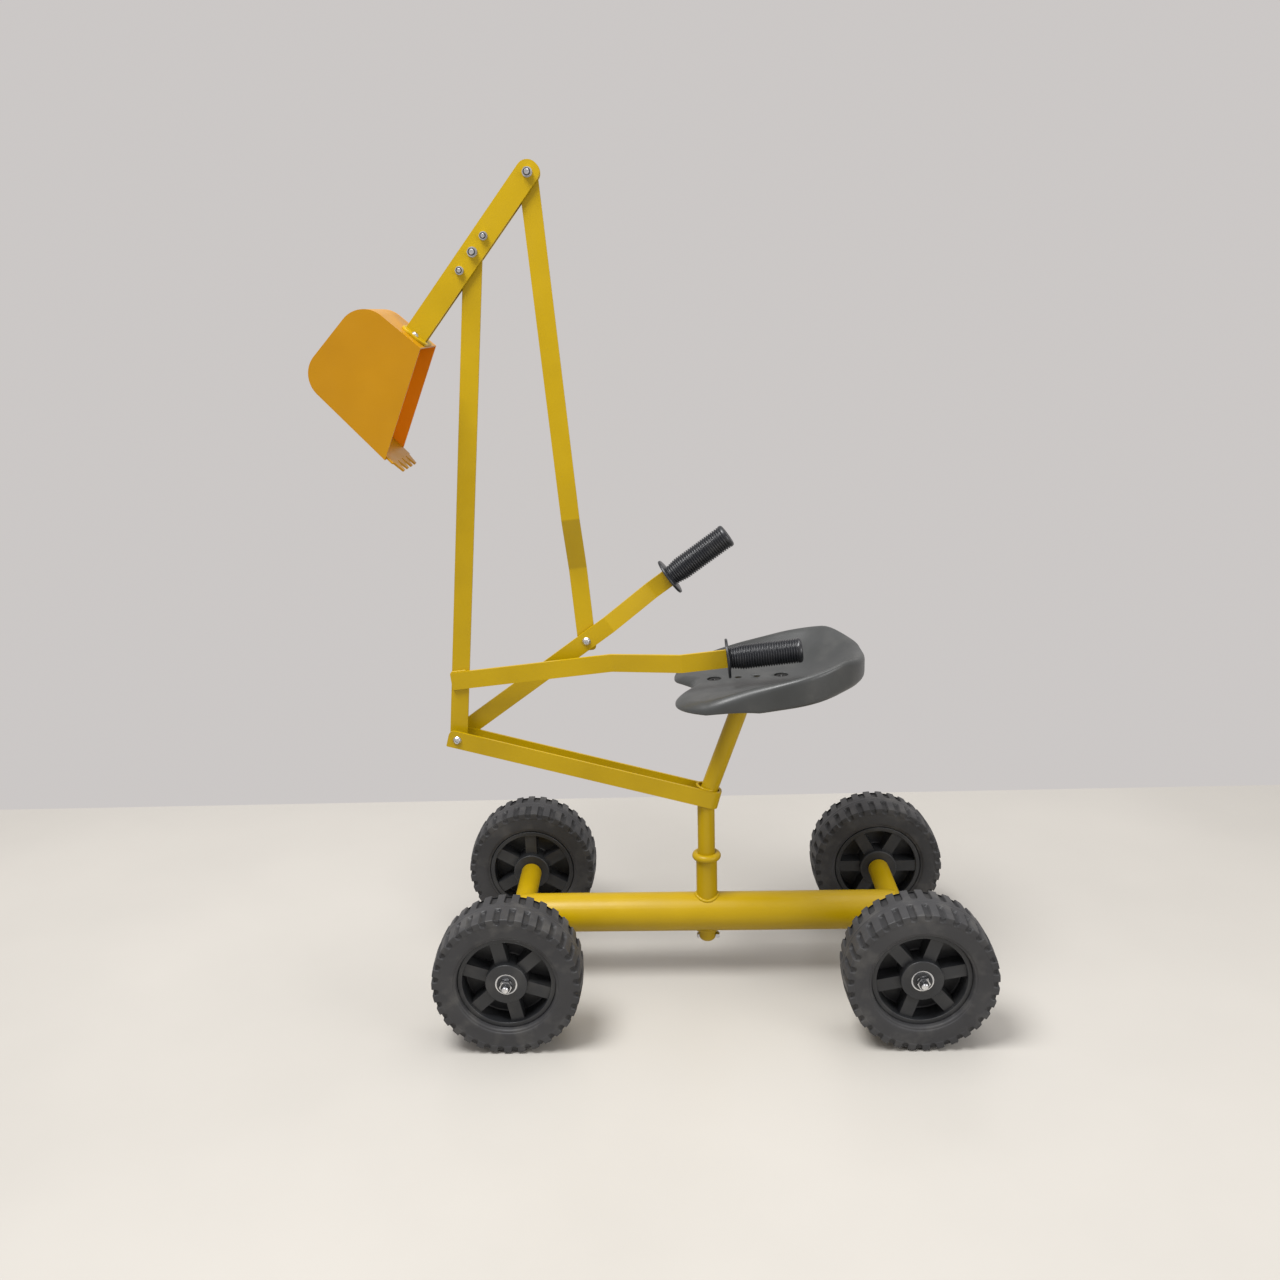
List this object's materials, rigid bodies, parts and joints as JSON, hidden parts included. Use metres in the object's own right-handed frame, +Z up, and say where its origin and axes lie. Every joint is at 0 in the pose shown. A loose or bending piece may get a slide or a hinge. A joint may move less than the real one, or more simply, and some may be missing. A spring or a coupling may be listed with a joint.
{
  "type": "ride-on digger",
  "caption": "Child's ride-on excavator: steel tube chassis on chunky wheels, swivelling pan seat, two hand levers working a tilting boom with a linkage-driven toothed bucket.",
  "frame": {"origin": "point on the ground on the turning axis of the seat post, midway between the axles", "axes": "+Z up, -X towards the bucket, -Y towards the rider's left hand"},
  "size_m": [0.7775, 0.3846, 1.0149],
  "materials": {
    "yellow_paint": "satin powder coat",
    "orange_paint": "satin powder coat",
    "seat_plastic": "fine satin moulding",
    "rim_plastic": "matte moulding",
    "tyre_rubber": "matte",
    "grip_rubber": "satin ribbed",
    "black_steel": "black oxide",
    "zinc_steel": "bright zinc plate"
  },
  "bodies": {
    "chassis": {"main_tube": "yellow_paint", "front_cross_tube": "yellow_paint", "rear_cross_tube": "yellow_paint", "cross_tube_plugs": "rim_plastic", "front_axle": "zinc_steel", "rear_axle": "zinc_steel", "axle_washers": "zinc_steel", "axle_nuts": "zinc_steel", "socket_tube": "yellow_paint"},
    "upper": {"seat_post": "yellow_paint", "thrust_ring": "yellow_paint", "base_arm": "yellow_paint", "retaining_bolt": "zinc_steel", "retaining_nut": "zinc_steel", "front_pivot_bolt": "zinc_steel", "front_pivot_washer": "zinc_steel", "front_pivot_nut": "zinc_steel", "fork_spacers": "zinc_steel", "seat_plate": "yellow_paint", "seat": "seat_plastic", "seat_bolts": "black_steel", "seat_nuts": "black_steel"},
    "boom": {"boom": "yellow_paint", "left_handle": "yellow_paint", "left_grip": "grip_rubber"},
    "lever": {"control_lever": "yellow_paint", "right_grip": "grip_rubber", "rod_bolt": "zinc_steel", "rod_washer": "zinc_steel", "rod_nut": "zinc_steel"},
    "rod": {"push_rod": "yellow_paint"},
    "arm": {"bucket_arm": "yellow_paint", "arm_pivot_bolts": "zinc_steel", "arm_stop_bolts": "zinc_steel", "arm_washers": "zinc_steel", "arm_nuts": "zinc_steel", "bucket_foot": "yellow_paint", "foot_screws": "zinc_steel", "foot_nuts": "zinc_steel", "bucket_side_left": "orange_paint", "bucket_side_right": "orange_paint", "bucket_wrap": "orange_paint", "bucket_blade": "orange_paint"},
    "wheel_front_left": {"tyre_front_left": "tyre_rubber", "rim_front_left": "rim_plastic", "bearings_front_left": "zinc_steel"},
    "wheel_rear_left": {"tyre_rear_left": "tyre_rubber", "rim_rear_left": "rim_plastic", "bearings_rear_left": "zinc_steel"},
    "wheel_front_right": {"tyre_front_right": "tyre_rubber", "rim_front_right": "rim_plastic", "bearings_front_right": "zinc_steel"},
    "wheel_rear_right": {"tyre_rear_right": "tyre_rubber", "rim_rear_right": "rim_plastic", "bearings_rear_right": "zinc_steel"}
  },
  "joints": [
    {"name": "slew", "type": "hinge", "parent": "chassis", "child": "upper", "pos_m": [0, 0, 0.162], "axis": [0, 0, 1], "continuous": true},
    {"name": "boom_tilt", "type": "hinge", "parent": "upper", "child": "boom", "pos_m": [-0.3109, 0, 0.3347], "axis": [0, -1, 0], "range_deg": [-1, 100]},
    {"name": "lever_pull", "type": "hinge", "parent": "boom", "child": "lever", "pos_m": [-0.3109, 0, 0.3347], "axis": [0, -1, 0], "range_deg": [-16, 0]},
    {"name": "arm_swing", "type": "hinge", "parent": "boom", "child": "arm", "pos_m": [-0.25748, 0, 0.91826], "axis": [0, -1, 0], "range_deg": [-34, 0]},
    {"name": "rod_swing", "type": "hinge", "parent": "lever", "child": "rod", "pos_m": [-0.14588, 0, 0.45241], "axis": [0, -1, 0], "range_deg": [0, 15.5]},
    {"name": "roll_front_left", "type": "hinge", "parent": "chassis", "child": "wheel_front_left", "pos_m": [-0.2424, -0.148, 0.089], "axis": [0, -1, 0], "continuous": true},
    {"name": "roll_rear_left", "type": "hinge", "parent": "chassis", "child": "wheel_rear_left", "pos_m": [0.2424, -0.148, 0.089], "axis": [0, -1, 0], "continuous": true},
    {"name": "roll_front_right", "type": "hinge", "parent": "chassis", "child": "wheel_front_right", "pos_m": [-0.2424, 0.148, 0.089], "axis": [0, -1, 0], "continuous": true},
    {"name": "roll_rear_right", "type": "hinge", "parent": "chassis", "child": "wheel_rear_right", "pos_m": [0.2424, 0.148, 0.089], "axis": [0, -1, 0], "continuous": true}
  ],
  "couplings": [
    {"joint": "arm_swing", "follows": "lever_pull", "ratio": 2.081},
    {"joint": "rod_swing", "follows": "lever_pull", "ratio": -0.934}
  ]
}
